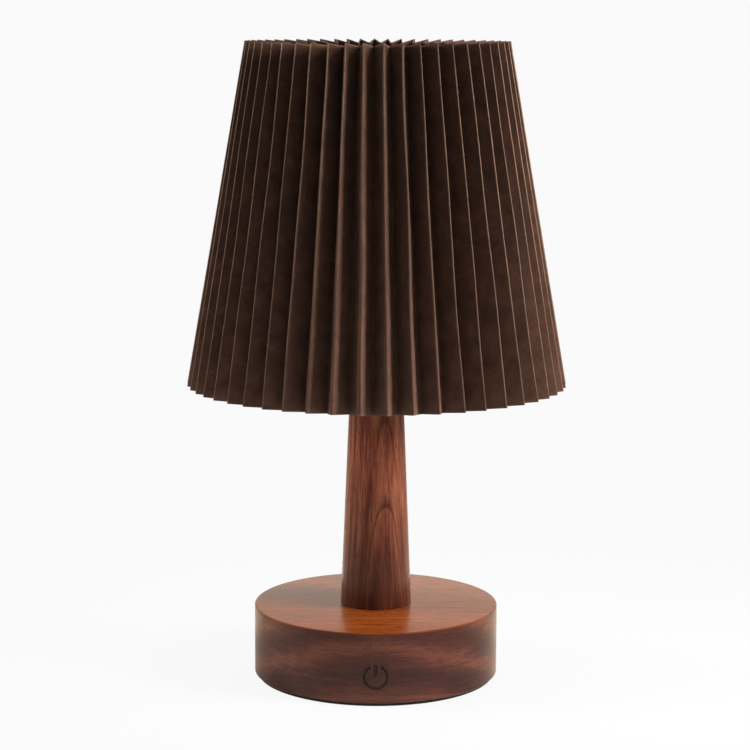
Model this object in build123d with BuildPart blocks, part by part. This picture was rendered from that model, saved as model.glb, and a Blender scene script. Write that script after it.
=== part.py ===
"""Cordless desk lamp: a turned wooden base and tapered stem, an LED head and a lift-off pleated shade.

Millimetres, +Z up. The origin is on the lamp's axis, at the underside of its foot.
The front, with the touch area, faces -Y and the charging port faces +Y.
"""
from build123d import *
import os
from math import asin, atan2, cos, degrees, hypot, pi, radians, sin, sqrt

# Base
base_radius = 60.0
base_top = 36.0
base_edge_round = 0.8
base_foot_chamfer = 0.4
foot_inset = 1.5
foot_height = 1.8
foot_edge_chamfer = 0.5
foot_window_radius = 30.0
cover_radius = 52.2
cover_thickness = 2.0
cover_gap = 0.3
pocket_radius = 46.0
base_roof = 8.0

# Fasteners of the base
cover_screw_count = 4
cover_screw_radius = 1.5
cover_screw_head_radius = 2.8
cover_screw_length = 9.0
screw_clearance = 0.1
foot_screw_window = 3.6
board_screw_radius = 1.1
board_screw_head_radius = 2.0
board_screw_head_height = 1.2
board_screw_length = 6.0
board_screw_spread = 22.0

# Battery and ballast
ballast_thickness = 4.2
inner_gap = 0.5
tray_floor = 1.0
tray_wall = 1.2
tray_wall_height = 6.0
tray_window_length = 52.0
cell_radius = 9.25
cell_length = 65.0
cell_spacing = 44.0
cell_gap = 0.05
cell_button_radius = 2.8
cell_button_height = 0.8
cell_edge_chamfer = 0.6
contact_thickness = 0.3
contact_height = 6.0
contact_tab_width = 4.0
contact_tab_reach = 3.0

# Touch area
touch_height = 14.8
touch_wall = 3.5
niche_width = 24.0
niche_height = 15.6
electrode_radius = 8.0
electrode_thickness = 0.4
touch_foam_radius = 5.0
touch_board_gap = 0.6
board_thickness = 1.6
board_gap = 0.2

# Charging port
port_width = 8.94
port_height = 3.26
port_length = 7.35
port_shell = 0.3
port_tongue_width = 6.7
port_tongue_thickness = 0.7
port_sink = 1.0
port_wall = 5.0
bezel_width = 13.0
bezel_height = 7.4
bezel_sink = 0.5
bezel_flange = 1.6
bezel_flange_thickness = 1.4
bezel_gap = 0.1
light_pipe_radius = 1.0
light_pipe_offset = 11.0
control_board_width = 30.0
control_board_front = 36.0
rear_niche_width = 33.0
rear_niche_headroom = 7.0

# Stem and the threaded pipe that clamps it
stem_foot_radius = 17.4
stem_taper = 0.0418
stem_top = 180.0
stem_edge_chamfer = 0.5
stem_spigot_radius = 11.8
stem_spigot_length = 2.8
socket_gap = 0.2
pipe_radius = 5.0
pipe_bore_radius = 3.5
pipe_gap = 0.3
pipe_tail = 9.0
pipe_washer_radius = 11.0
pipe_washer_thickness = 1.6
pipe_nut_width = 14.0
pipe_nut_height = 5.0
pipe_head = 7.0
thread_gap = 0.05

# LED head
holder_floor = 3.0
holder_foot_radius = 10.8
holder_bell_height = 12.0
holder_height = 26.0
holder_wall = 2.0
holder_flange_radius = 24.0
holder_flange_thickness = 3.0
collar_radius = 19.8
collar_height = 12.0
collar_spigot_length = 4.0
collar_spigot_wall = 1.1
sink_ledge = 2.6
sink_gap = 0.2
sink_plate = 5.0
sink_drop = 8.0
sink_fin_count = 12
sink_fin_thickness = 1.2
sink_rim = 2.2
led_board_radius = 17.0
led_chip_count = 12
led_chip_length = 3.5
led_chip_width = 2.8
led_chip_height = 0.8
led_ring_radius = 12.5
led_screw_spread = 14.0
diffuser_radius = 19.4
diffuser_wall = 1.8
diffuser_spigot = 5.0
diffuser_straight = 24.0
lead_radius = 1.3
lead_bend = 8.0
lead_tail = 5.0
touch_lead_radius = 0.9
touch_lead_offset = 4.0

# Shade
shade_bottom = 146.0
shade_top = 311.8
shade_bottom_radius = 92.5
shade_top_radius = 63.65
pleat_count = 52
pleat_flank = 13.2
pleat_wall = 0.6
pleat_start = 2.483
pleat_spread = 0.085
wire_sides = 8
hoop_wire_radius = 1.5
hoop_gap = 0.15
top_hoop_drop = 8.5
bottom_hoop_rise = 5.0
fitter_bore_radius = 20.8
fitter_outer_radius = 27.5
fitter_thickness = 2.0
fitter_arm_count = 3
fitter_arm_radius = 1.6
fitter_arm_reach = 41.0
fitter_arm_bend = 10.0
washer_inner_radius = 20.4
washer_outer_radius = 24.0
washer_thickness = 1.2
seat_gap = 0.1
ring_nut_radius = 24.5
ring_nut_height = 7.0
ring_nut_gap = 0.3
ring_nut_grips = 30
ring_nut_grip_depth = 0.5

# Levels that follow from the sizes above
cover_top = foot_height + cover_thickness
ballast_top = cover_top + ballast_thickness
tray_top = ballast_top + tray_floor
cell_level = tray_top + cell_gap + cell_radius
pocket_roof = base_top - base_roof
pipe_bottom = pocket_roof - pipe_tail
pipe_top = stem_top + holder_floor + pipe_head
holder_rim = stem_top + holder_height
collar_top = holder_rim + collar_height
cup_inner_radius = collar_radius - holder_wall
sink_seat = holder_rim - sink_drop - holder_wall
sink_top = sink_seat + sink_drop + sink_plate
led_board_top = sink_top + board_thickness
washer_level = holder_rim + seat_gap
fitter_level = washer_level + washer_thickness + seat_gap
ring_nut_level = fitter_level + fitter_thickness + seat_gap
board_top = touch_height - port_height / 2
board_level = board_top - board_thickness
socket_radius = stem_spigot_radius + socket_gap
socket_floor = base_top - stem_spigot_length - socket_gap
cell_end = cell_length / 2
control_board_rear = base_radius - port_wall - board_gap
front_wall_face = base_radius - touch_wall
touch_board_rear = pocket_radius + touch_board_gap
foam_rear = touch_board_rear + board_thickness
foot_radius = base_radius - foot_inset
cover_screw_circle = (pocket_radius + cover_radius) / 2


def stem_radius(level):
    """Radius of the straight-tapered stem at a height."""
    return stem_foot_radius - stem_taper * (level - base_top)


shade_slope = (shade_bottom_radius - shade_top_radius) / (shade_top - shade_bottom)
shade_slant = cos(atan2(shade_slope, 1.0))


def ridge_radius(level):
    """Radius of the outer fold edges at a height."""
    return shade_bottom_radius - shade_slope * (level - shade_bottom)


def pleat_depth(level):
    """Level distance from an outer fold edge to an inner one: the flanks keep one width."""
    radius = ridge_radius(level)
    half_pitch = pi * (radius - pleat_flank / 2) / pleat_count
    return sqrt(pleat_flank**2 - half_pitch**2) / shade_slant


def wall_offset(level):
    """Level distance between the outer and inner face of the folded sheet."""
    half_pitch = pi * (ridge_radius(level) - pleat_flank / 2) / pleat_count
    return pleat_wall * hypot(half_pitch, pleat_depth(level)) / half_pitch


def fold_azimuth(fold):
    """Azimuth of a fold in radians, from the front: the front pleats are drawn a little wider."""
    even = radians(pleat_start + 360 / pleat_count * fold)
    return even + pleat_spread * (sin(even) + sin(3 * even) / 6)


def fold_points(level, inset):
    """Corners of the folded sheet at a height, an outer and an inner edge in turn."""
    outer_radius = ridge_radius(level) - inset
    inner_radius = outer_radius - pleat_depth(level)
    corners = []
    for fold in range(pleat_count):
        for half, radius in ((0.0, outer_radius), (0.5, inner_radius)):
            azimuth = fold_azimuth(fold + half)
            corners.append((radius * sin(azimuth), -radius * cos(azimuth)))
    return corners


def hoop_radius(level):
    """Centre radius of a wire hoop that lies against the inner fold edges at a height."""
    inner_face = ridge_radius(level) - pleat_depth(level) - wall_offset(level)
    return inner_face - shade_slope * hoop_wire_radius - hoop_wire_radius - hoop_gap


# Foot: a soft pad under the base, with a window and one hole below each cover screw
with BuildPart() as foot_pad:
    with BuildSketch(Plane.XY):
        Circle(foot_radius)
        Circle(foot_window_radius, mode=Mode.SUBTRACT)
        with PolarLocations(cover_screw_circle, cover_screw_count, start_angle=45):
            Circle(foot_screw_window, mode=Mode.SUBTRACT)
    extrude(amount=foot_height)
    foot_rims = foot_pad.edges().filter_by(GeomType.CIRCLE).group_by(Axis.Z)[0]
    chamfer(foot_rims.sort_by(SortBy.RADIUS)[-1], length=foot_edge_chamfer)
foot_pad.part.label = "foot_pad"

# Cover: a steel plate let into the underside of the base
with BuildPart() as base_cover:
    with BuildSketch(Plane.XY.offset(foot_height)):
        Circle(cover_radius)
    extrude(amount=cover_thickness)
    with Locations(Plane.XY.offset(foot_height).rotated((180, 0, 0))):
        with PolarLocations(cover_screw_circle, cover_screw_count, start_angle=45):
            CounterSinkHole(
                radius=cover_screw_radius + screw_clearance,
                counter_sink_radius=cover_screw_head_radius + screw_clearance,
                counter_sink_angle=90,
            )
base_cover.part.label = "base_cover"

# Cover screws: countersunk heads flush with the cover
screw_neck = foot_height + cover_screw_head_radius - cover_screw_radius
with BuildPart() as cover_screws:
    with BuildSketch(Plane.XZ):
        with BuildLine():
            Polyline(
                (0, foot_height),
                (cover_screw_head_radius, foot_height),
                (cover_screw_radius, screw_neck),
                (cover_screw_radius, foot_height + cover_screw_length - cover_screw_radius),
                (0, foot_height + cover_screw_length),
                close=True,
            )
        make_face()
    screw = revolve(axis=Axis.Z, mode=Mode.PRIVATE)
    with PolarLocations(cover_screw_circle, cover_screw_count, start_angle=45):
        add(screw)
cover_screws.part.label = "cover_screws"

# Wooden base: a turned disc, hollowed from below, with niches for the touch board and the port
with BuildPart() as wooden_base:
    with BuildSketch(Plane.XY.offset(foot_height)):
        Circle(base_radius)
    extrude(amount=base_top - foot_height)
    fillet(wooden_base.edges().sort_by(Axis.Z)[-1], radius=base_edge_round)
    chamfer(wooden_base.edges().sort_by(Axis.Z)[0], length=base_foot_chamfer)
    with BuildSketch(Plane.XY.offset(foot_height)):
        Circle(cover_radius + cover_gap)
    extrude(amount=cover_thickness, mode=Mode.SUBTRACT)
    with BuildSketch(Plane.XY.offset(cover_top)):
        Circle(pocket_radius)
    extrude(amount=pocket_roof - cover_top, mode=Mode.SUBTRACT)
    with BuildSketch(Plane.XY.offset(socket_floor)):
        Circle(socket_radius)
    extrude(amount=base_top - socket_floor, mode=Mode.SUBTRACT)
    with BuildSketch(Plane.XY.offset(pocket_roof)):
        Circle(pipe_radius + pipe_gap)
    extrude(amount=base_top - pocket_roof, mode=Mode.SUBTRACT)
    with BuildSketch(Plane.XY.offset(cover_top)):
        with PolarLocations(cover_screw_circle, cover_screw_count, start_angle=45):
            Circle(cover_screw_radius + screw_clearance)
    extrude(amount=cover_screw_length, mode=Mode.SUBTRACT)
    with BuildSketch(Plane.XY.offset(touch_height - niche_height / 2)):
        with Locations((0, -front_wall_face / 2)):
            Rectangle(niche_width, front_wall_face)
    extrude(amount=niche_height, mode=Mode.SUBTRACT)
    with BuildSketch(Plane.XY.offset(board_level)):
        with Locations((0, (base_radius - port_wall) / 2)):
            Rectangle(rear_niche_width, base_radius - port_wall)
    extrude(amount=board_thickness + rear_niche_headroom, mode=Mode.SUBTRACT)
    with BuildSketch(Plane.XZ.offset(-base_radius)):
        with Locations((0, touch_height)):
            SlotOverall(bezel_width + 2 * bezel_gap, bezel_height + 2 * bezel_gap)
        with Locations((light_pipe_offset, touch_height)):
            Circle(light_pipe_radius + bezel_gap)
    extrude(amount=port_wall, mode=Mode.SUBTRACT)
    with BuildSketch(Plane.XY.offset(board_level)):
        with Locations((0, control_board_rear - 2 * board_screw_head_radius)):
            with GridLocations(board_screw_spread, 1, 2, 1):
                Circle(board_screw_radius + screw_clearance)
    extrude(amount=-board_screw_length, mode=Mode.SUBTRACT)
wooden_base.part.label = "wooden_base"

# Ballast: a steel disc on the cover, under the battery
with BuildPart() as ballast_plate:
    with BuildSketch(Plane.XY.offset(cover_top)):
        Circle(pocket_radius - inner_gap)
    extrude(amount=ballast_thickness)
    chamfer(ballast_plate.edges(), length=ballast_thickness / 10)
ballast_plate.part.label = "ballast_plate"

# Battery tray: a floor with a channel for each cell and a window between them
with BuildPart() as battery_tray:
    with BuildSketch(Plane.XY.offset(ballast_top)):
        Circle(pocket_radius - inner_gap)
    extrude(amount=tray_floor)
    with BuildSketch(Plane.XY.offset(tray_top)):
        with GridLocations(cell_spacing, 1, 2, 1):
            Rectangle(2 * (cell_radius + tray_wall), cell_length + 4 * tray_wall)
            Rectangle(2 * (cell_radius + cell_gap), cell_length + 2 * tray_wall, mode=Mode.SUBTRACT)
        Circle(pocket_radius - inner_gap, mode=Mode.INTERSECT)
    extrude(amount=tray_wall_height)
    with BuildSketch(Plane.XY.offset(ballast_top)):
        Rectangle(cell_spacing - 2 * (cell_radius + 2 * tray_wall), tray_window_length)
    extrude(amount=tray_floor, mode=Mode.SUBTRACT)
battery_tray.part.label = "battery_tray"

# Battery cells: two round cells side by side, buttons at opposite ends
cells = {}
for cell_name, side in (("battery_cell_left", -1), ("battery_cell_right", 1)):
    with BuildPart() as cell:
        with BuildSketch(Plane.XZ.offset(cell_end)):
            with Locations((side * cell_spacing / 2, cell_level)):
                Circle(cell_radius)
        extrude(amount=-cell_length)
        chamfer(cell.edges().filter_by(GeomType.CIRCLE), length=cell_edge_chamfer)
        with BuildSketch(Plane.XZ.offset(-side * cell_end)):
            with Locations((side * cell_spacing / 2, cell_level)):
                Circle(cell_button_radius)
        extrude(amount=-side * cell_button_height)
    cell.part.label = cell_name
    cells[cell_name] = cell.part

# Contacts: nickel strips that link the cells in front and reach the board at the rear
contact_face = cell_end + cell_button_height
with BuildPart() as battery_contacts:
    with BuildSketch(Plane.XZ.offset(contact_face)):
        with Locations((0, cell_level)):
            Rectangle(cell_spacing + 2 * cell_button_radius, contact_height)
    extrude(amount=contact_thickness)
    for side in (-1, 1):
        strip_inner = cell_spacing / 2 - cell_radius - tray_wall - board_gap - contact_tab_width
        strip_outer = cell_spacing / 2 + cell_button_radius
        with BuildSketch(Plane.XZ.offset(-contact_face - contact_thickness)):
            with Locations((side * (strip_inner + strip_outer) / 2, cell_level)):
                Rectangle(strip_outer - strip_inner, contact_height)
            with Locations((side * (strip_inner + contact_tab_width / 2), (board_top + cell_level) / 2)):
                Rectangle(contact_tab_width, cell_level - board_top)
        extrude(amount=contact_thickness)
        tab_length = control_board_front + contact_tab_reach - contact_face
        with BuildSketch(Plane.XY.offset(board_top)):
            with Locations((side * (strip_inner + contact_tab_width / 2), contact_face + tab_length / 2)):
                Rectangle(contact_tab_width, tab_length)
        extrude(amount=contact_thickness)
battery_contacts.part.label = "battery_contacts"

# Control board: charger and dimmer, screwed to the shelf behind the port
with BuildPart() as control_board:
    with BuildSketch(Plane.XY.offset(board_level)):
        with Locations((0, (control_board_front + control_board_rear) / 2)):
            Rectangle(control_board_width, control_board_rear - control_board_front)
        with Locations((0, control_board_rear - 2 * board_screw_head_radius)):
            with GridLocations(board_screw_spread, 1, 2, 1):
                Circle(board_screw_radius + screw_clearance, mode=Mode.SUBTRACT)
    extrude(amount=board_thickness)
control_board.part.label = "control_board"

with BuildPart() as board_screws:
    with BuildSketch(Plane.XY.offset(board_top)):
        with Locations((0, control_board_rear - 2 * board_screw_head_radius)):
            with GridLocations(board_screw_spread, 1, 2, 1):
                Circle(board_screw_radius)
    extrude(amount=-board_screw_length)
    with BuildSketch(Plane.XY.offset(board_top)):
        with Locations((0, control_board_rear - 2 * board_screw_head_radius)):
            with GridLocations(board_screw_spread, 1, 2, 1):
                Circle(board_screw_head_radius)
    extrude(amount=board_screw_head_height)
board_screws.part.label = "board_screws"

# Charging port: a drawn shell with its contact tongue
port_mouth = base_radius - port_sink
with BuildPart() as usb_c_port:
    with BuildSketch(Plane.XZ.offset(-port_mouth)):
        with Locations((0, touch_height)):
            SlotOverall(port_width, port_height)
            SlotOverall(port_width - 2 * port_shell, port_height - 2 * port_shell, mode=Mode.SUBTRACT)
    extrude(amount=port_length)
    with BuildSketch(Plane.XZ.offset(port_length - port_mouth)):
        with Locations((0, touch_height)):
            SlotOverall(port_width, port_height)
    extrude(amount=-port_shell * 3)
    with BuildSketch(Plane.XZ.offset(port_length - port_mouth)):
        with Locations((0, touch_height)):
            Rectangle(port_tongue_width, port_tongue_thickness)
    extrude(amount=-(port_length - port_shell * 3))
usb_c_port.part.label = "usb_c_port"

# Bezel: a flanged liner between the port and the wood, pushed in from inside
bezel_rear = base_radius - port_wall
bezel_front = base_radius - bezel_sink
with BuildPart() as usb_bezel:
    with BuildSketch(Plane.XZ.offset(-bezel_front)):
        with Locations((0, touch_height)):
            SlotOverall(bezel_width, bezel_height)
    extrude(amount=bezel_front - bezel_rear)
    with BuildSketch(Plane.XZ.offset(-bezel_rear)):
        with Locations((0, touch_height + bezel_flange / 4)):
            Rectangle(bezel_width + 2 * bezel_flange, port_height + bezel_flange * 2.5)
        with Locations((0, board_top - bezel_flange)):
            Rectangle(bezel_width + 4 * bezel_flange, 2 * bezel_flange + 2 * board_gap, mode=Mode.SUBTRACT)
    extrude(amount=bezel_flange_thickness)
    with BuildSketch(Plane.XZ.offset(-bezel_front)):
        with Locations((0, touch_height)):
            SlotOverall(port_width + 2 * bezel_gap, port_height + 2 * bezel_gap)
    extrude(amount=bezel_front - bezel_rear + bezel_flange_thickness, mode=Mode.SUBTRACT)
usb_bezel.part.label = "usb_bezel"

# Light pipe: a clear rod that carries the charge light to the back of the base
pipe_light_front = sqrt(base_radius**2 - light_pipe_offset**2)
with BuildPart() as charge_light_pipe:
    with BuildSketch(Plane.XZ.offset(-pipe_light_front)):
        with Locations((light_pipe_offset, touch_height)):
            Circle(light_pipe_radius)
    extrude(amount=pipe_light_front - control_board_rear + 2 * light_pipe_radius)
charge_light_pipe.part.label = "charge_light_pipe"

# Touch switch: an electrode on the thinned front wall, a foam contact and its board
with BuildPart() as touch_electrode:
    with BuildSketch(Plane.XZ.offset(front_wall_face)):
        with Locations((0, touch_height)):
            Circle(min(electrode_radius, niche_height / 2 - board_gap))
    extrude(amount=-electrode_thickness)
touch_electrode.part.label = "touch_electrode"

with BuildPart() as touch_foam:
    with BuildSketch(Plane.XZ.offset(front_wall_face - electrode_thickness)):
        with Locations((0, touch_height)):
            Circle(touch_foam_radius)
    extrude(amount=foam_rear - front_wall_face + electrode_thickness)
touch_foam.part.label = "touch_foam"

with BuildPart() as touch_board:
    with BuildSketch(Plane.XZ.offset(foam_rear)):
        with Locations((0, touch_height - board_gap / 2)):
            Rectangle(niche_width - 2 * board_gap, niche_height - board_gap)
    extrude(amount=-board_thickness)
touch_board.part.label = "touch_board"

with BuildPart() as touch_lead:
    with BuildSketch(Plane.XZ.offset(touch_board_rear)):
        with Locations((-touch_lead_offset, board_level + board_thickness / 2)):
            Circle(touch_lead_radius)
    extrude(amount=-(touch_board_rear + control_board_front))
touch_lead.part.label = "touch_lead"

# Pipe: the hollow threaded rod that clamps holder, stem and base together
with BuildPart() as lamp_pipe:
    with BuildSketch(Plane.XY.offset(pipe_bottom)):
        Circle(pipe_radius)
        Circle(pipe_bore_radius, mode=Mode.SUBTRACT)
    extrude(amount=pipe_top - pipe_bottom)
lamp_pipe.part.label = "lamp_pipe"

with BuildPart() as pipe_washer:
    with BuildSketch(Plane.XY.offset(pocket_roof - pipe_washer_thickness)):
        Circle(pipe_washer_radius)
        Circle(pipe_radius + pipe_gap, mode=Mode.SUBTRACT)
    extrude(amount=pipe_washer_thickness)
pipe_washer.part.label = "pipe_washer"

nuts = {}
base_nut_level = pocket_roof - pipe_washer_thickness - pipe_nut_height
for nut_name, nut_level in (("pipe_nut", base_nut_level), ("holder_nut", stem_top + holder_floor)):
    with BuildPart() as nut:
        with BuildSketch(Plane.XY.offset(nut_level)):
            RegularPolygon(pipe_nut_width / 2, 6, major_radius=False)
            Circle(pipe_radius + thread_gap, mode=Mode.SUBTRACT)
        extrude(amount=pipe_nut_height)
    nut.part.label = nut_name
    nuts[nut_name] = nut.part

# Stem: a straight turned taper with a spigot that centres it in the base
stem_bottom = base_top - stem_spigot_length
with BuildPart() as wooden_stem:
    with BuildSketch(Plane.XZ):
        with BuildLine():
            Polyline(
                (pipe_radius + pipe_gap, stem_bottom),
                (stem_spigot_radius, stem_bottom),
                (stem_spigot_radius, base_top),
                (stem_foot_radius, base_top),
                (stem_radius(stem_top), stem_top),
                (pipe_radius + pipe_gap, stem_top),
                close=True,
            )
        make_face()
    revolve(axis=Axis.Z)
    stem_rims = wooden_stem.edges().filter_by(GeomType.CIRCLE)
    chamfer(stem_rims.group_by(Axis.Z)[-1].sort_by(SortBy.RADIUS)[-1], length=stem_edge_chamfer)
wooden_stem.part.label = "wooden_stem"

# Holder: a turned cup on the stem, with the flange and collar that carry the shade
cup_wall_radius = cup_inner_radius + holder_wall
bell_top = stem_top + holder_bell_height
wire_room_radius = cup_inner_radius - sink_ledge
collar_spigot_radius = cup_inner_radius + collar_spigot_wall
spigot_seat = holder_rim - collar_spigot_length
with BuildPart() as lamp_holder:
    with BuildSketch(Plane.XZ):
        with BuildLine():
            Line((pipe_radius + pipe_gap, stem_top), (holder_foot_radius, stem_top))
            ThreePointArc(
                (holder_foot_radius, stem_top),
                (
                    holder_foot_radius + (cup_wall_radius - holder_foot_radius) * sin(pi / 4),
                    stem_top + holder_bell_height * (1 - cos(pi / 4)),
                ),
                (cup_wall_radius, bell_top),
            )
            Polyline(
                (cup_wall_radius, bell_top),
                (cup_wall_radius, holder_rim - holder_flange_thickness),
                (holder_flange_radius, holder_rim - holder_flange_thickness),
                (holder_flange_radius, holder_rim),
                (collar_spigot_radius + socket_gap, holder_rim),
                (collar_spigot_radius + socket_gap, spigot_seat),
                (cup_inner_radius, spigot_seat),
                (cup_inner_radius, sink_seat),
                (wire_room_radius, sink_seat),
                (wire_room_radius, bell_top),
                (holder_foot_radius - holder_wall / 2, stem_top + holder_floor),
                (pipe_radius + pipe_gap, stem_top + holder_floor),
                (pipe_radius + pipe_gap, stem_top),
            )
        make_face()
    revolve(axis=Axis.Z)
    flange_rims = lamp_holder.edges().filter_by(GeomType.CIRCLE).sort_by(SortBy.RADIUS)[-2:]
    chamfer(flange_rims, length=holder_flange_thickness / 6)
lamp_holder.part.label = "lamp_holder"

# Collar: the threaded skirt that plugs into the cup and takes the shade's ring nut
with BuildPart() as holder_collar:
    with BuildSketch(Plane.XY.offset(spigot_seat)):
        Circle(collar_spigot_radius)
    extrude(amount=collar_spigot_length)
    with BuildSketch(Plane.XY.offset(holder_rim)):
        Circle(collar_radius)
    extrude(amount=collar_height)
    with BuildSketch(Plane.XY.offset(spigot_seat)):
        Circle(cup_inner_radius)
    extrude(amount=collar_spigot_length + collar_height, mode=Mode.SUBTRACT)
holder_collar.part.label = "holder_collar"

# Heat sink: a plate on a rim, with fins down into the cup
with BuildPart() as heat_sink:
    with BuildSketch(Plane.XY.offset(sink_seat + sink_drop)):
        Circle(cup_inner_radius - sink_gap)
    extrude(amount=sink_plate)
    with BuildSketch(Plane.XY.offset(sink_seat)):
        Circle(cup_inner_radius - sink_gap)
        Circle(cup_inner_radius - sink_gap - sink_rim, mode=Mode.SUBTRACT)
        with PolarLocations(cup_inner_radius * 0.6, sink_fin_count):
            Rectangle(cup_inner_radius * 0.7, sink_fin_thickness)
    extrude(amount=sink_drop)
    with BuildSketch(Plane.XY.offset(sink_seat)):
        Circle(lead_radius + sink_gap)
    extrude(amount=sink_drop + sink_plate, mode=Mode.SUBTRACT)
    with BuildSketch(Plane.XY.offset(sink_top)):
        with GridLocations(led_screw_spread, 1, 2, 1):
            Circle(board_screw_radius + screw_clearance)
    extrude(amount=-sink_plate, mode=Mode.SUBTRACT)
heat_sink.part.label = "heat_sink"

with BuildPart() as led_board:
    with BuildSketch(Plane.XY.offset(sink_top)):
        Circle(led_board_radius)
        Circle(lead_radius + sink_gap, mode=Mode.SUBTRACT)
        with GridLocations(led_screw_spread, 1, 2, 1):
            Circle(board_screw_radius + screw_clearance, mode=Mode.SUBTRACT)
    extrude(amount=board_thickness)
led_board.part.label = "led_board"

with BuildPart() as led_board_screws:
    with BuildSketch(Plane.XY.offset(led_board_top)):
        with GridLocations(led_screw_spread, 1, 2, 1):
            Circle(board_screw_radius)
    extrude(amount=-(board_thickness + sink_plate - sink_gap))
    with BuildSketch(Plane.XY.offset(led_board_top)):
        with GridLocations(led_screw_spread, 1, 2, 1):
            Circle(board_screw_head_radius)
    extrude(amount=board_screw_head_height)
led_board_screws.part.label = "led_board_screws"

with BuildPart() as led_chips:
    with BuildSketch(Plane.XY.offset(led_board_top)):
        with PolarLocations(led_ring_radius, led_chip_count):
            Rectangle(led_chip_width, led_chip_length)
    extrude(amount=led_chip_height)
led_chips.part.label = "led_chips"

# Diffuser: a closed opal dome whose spigot plugs into the collar
dome_start = collar_top + diffuser_straight
dome_top = dome_start + diffuser_radius
spigot_radius = cup_inner_radius - sink_gap
with BuildPart() as diffuser:
    with BuildSketch(Plane.XZ):
        with BuildLine():
            Polyline(
                (spigot_radius - diffuser_wall, collar_top - diffuser_spigot),
                (spigot_radius, collar_top - diffuser_spigot),
                (spigot_radius, collar_top),
                (diffuser_radius, collar_top),
                (diffuser_radius, dome_start),
            )
            CenterArc((0, dome_start), diffuser_radius, 0, 90)
            Line((0, dome_top), (0, dome_top - diffuser_wall))
            CenterArc((0, dome_start), diffuser_radius - diffuser_wall, 0, 90)
            Polyline(
                (diffuser_radius - diffuser_wall, dome_start),
                (diffuser_radius - diffuser_wall, collar_top + diffuser_wall),
                (spigot_radius - diffuser_wall, collar_top),
                (spigot_radius - diffuser_wall, collar_top - diffuser_spigot),
            )
        make_face()
    revolve(axis=Axis.Z)
diffuser.part.label = "diffuser"

# Lead: down the pipe from the LED board, then along the gap between the cells to the control board
lead_level = board_top + lead_radius + board_gap / 10
with BuildPart() as led_lead:
    with BuildLine():
        lead_path = FilletPolyline(
            (0, 0, led_board_top),
            (0, 0, lead_level),
            (0, control_board_front + lead_tail, lead_level),
            radius=lead_bend,
        )
    with BuildSketch(Plane.XY.offset(led_board_top)):
        Circle(lead_radius)
    sweep(path=lead_path)
led_lead.part.label = "led_lead"

# Seat washer: a soft ring between the holder's flange and the shade
with BuildPart() as seat_washer:
    with BuildSketch(Plane.XY.offset(washer_level)):
        Circle(washer_outer_radius)
        Circle(washer_inner_radius, mode=Mode.SUBTRACT)
    extrude(amount=washer_thickness)
seat_washer.part.label = "seat_washer"

# Ring nut: screws down on the collar and clamps the shade, with grip grooves round its rim
with BuildPart() as shade_ring_nut:
    with BuildSketch(Plane.XY.offset(ring_nut_level)):
        Circle(ring_nut_radius)
        Circle(collar_radius + ring_nut_gap, mode=Mode.SUBTRACT)
    extrude(amount=ring_nut_height)
    with BuildSketch(Plane.XY.offset(ring_nut_level)):
        with PolarLocations(ring_nut_radius, ring_nut_grips):
            Rectangle(2 * ring_nut_grip_depth, pi * ring_nut_radius / ring_nut_grips)
    extrude(amount=ring_nut_height, mode=Mode.SUBTRACT)
shade_ring_nut.part.label = "shade_ring_nut"

# Shade frame: a fitter ring, arms that rise from it and the top hoop, welded as one
top_hoop_level = shade_top - top_hoop_drop
arm_level = fitter_level + fitter_thickness / 2
with BuildPart() as shade_frame:
    with BuildSketch(Plane.XY.offset(fitter_level)):
        Circle(fitter_outer_radius)
        Circle(fitter_bore_radius, mode=Mode.SUBTRACT)
    extrude(amount=fitter_thickness)
    with BuildLine(Plane.XZ) as arm_line:
        FilletPolyline(
            (fitter_outer_radius - fitter_arm_radius, arm_level),
            (fitter_arm_reach, arm_level),
            (hoop_radius(top_hoop_level), top_hoop_level),
            radius=fitter_arm_bend,
        )
    with BuildSketch(Plane.YZ.offset(fitter_outer_radius - fitter_arm_radius)):
        with Locations((0, arm_level)):
            RegularPolygon(fitter_arm_radius, wire_sides)
    arm = sweep(path=arm_line.wires()[0], mode=Mode.PRIVATE)
    with PolarLocations(0, fitter_arm_count, start_angle=90):
        add(arm)
    with BuildSketch(Plane.XZ):
        with Locations((hoop_radius(top_hoop_level), top_hoop_level)):
            RegularPolygon(hoop_wire_radius, wire_sides)
    revolve(axis=Axis.Z)
shade_frame.part.label = "shade_frame"

with BuildPart() as bottom_hoop:
    bottom_hoop_level = shade_bottom + bottom_hoop_rise
    with BuildSketch(Plane.XZ):
        with Locations((hoop_radius(bottom_hoop_level), bottom_hoop_level)):
            RegularPolygon(hoop_wire_radius, wire_sides)
    revolve(axis=Axis.Z)
bottom_hoop.part.label = "bottom_hoop"

# Pleated shade: one sheet folded in and out round a cone, cut square to its slant at both rims
rim_margin = pleat_flank / 2
low_level = shade_bottom - rim_margin
high_level = shade_top + rim_margin
with BuildPart() as pleated_shade:
    for level in (low_level, high_level):
        with BuildSketch(Plane.XY.offset(level)):
            with BuildLine():
                Polyline(*fold_points(level, 0.0), close=True)
            make_face()
    loft(ruled=True)
    with BuildSketch(Plane.XZ):
        with BuildLine():
            far_radius = shade_bottom_radius + rim_margin
            Polyline(
                (0, shade_bottom - shade_slope * shade_bottom_radius),
                (far_radius, shade_bottom + shade_slope * rim_margin),
                (far_radius, shade_top + shade_slope * (far_radius - shade_top_radius)),
                (0, shade_top - shade_slope * shade_top_radius),
                close=True,
            )
        make_face()
    revolve(axis=Axis.Z, mode=Mode.INTERSECT)
    for level in (low_level, high_level):
        with BuildSketch(Plane.XY.offset(level)):
            with BuildLine():
                Polyline(*fold_points(level, wall_offset(level)), close=True)
            make_face()
    loft(ruled=True, mode=Mode.SUBTRACT)
pleated_shade.part.label = "pleated_shade"

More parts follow.
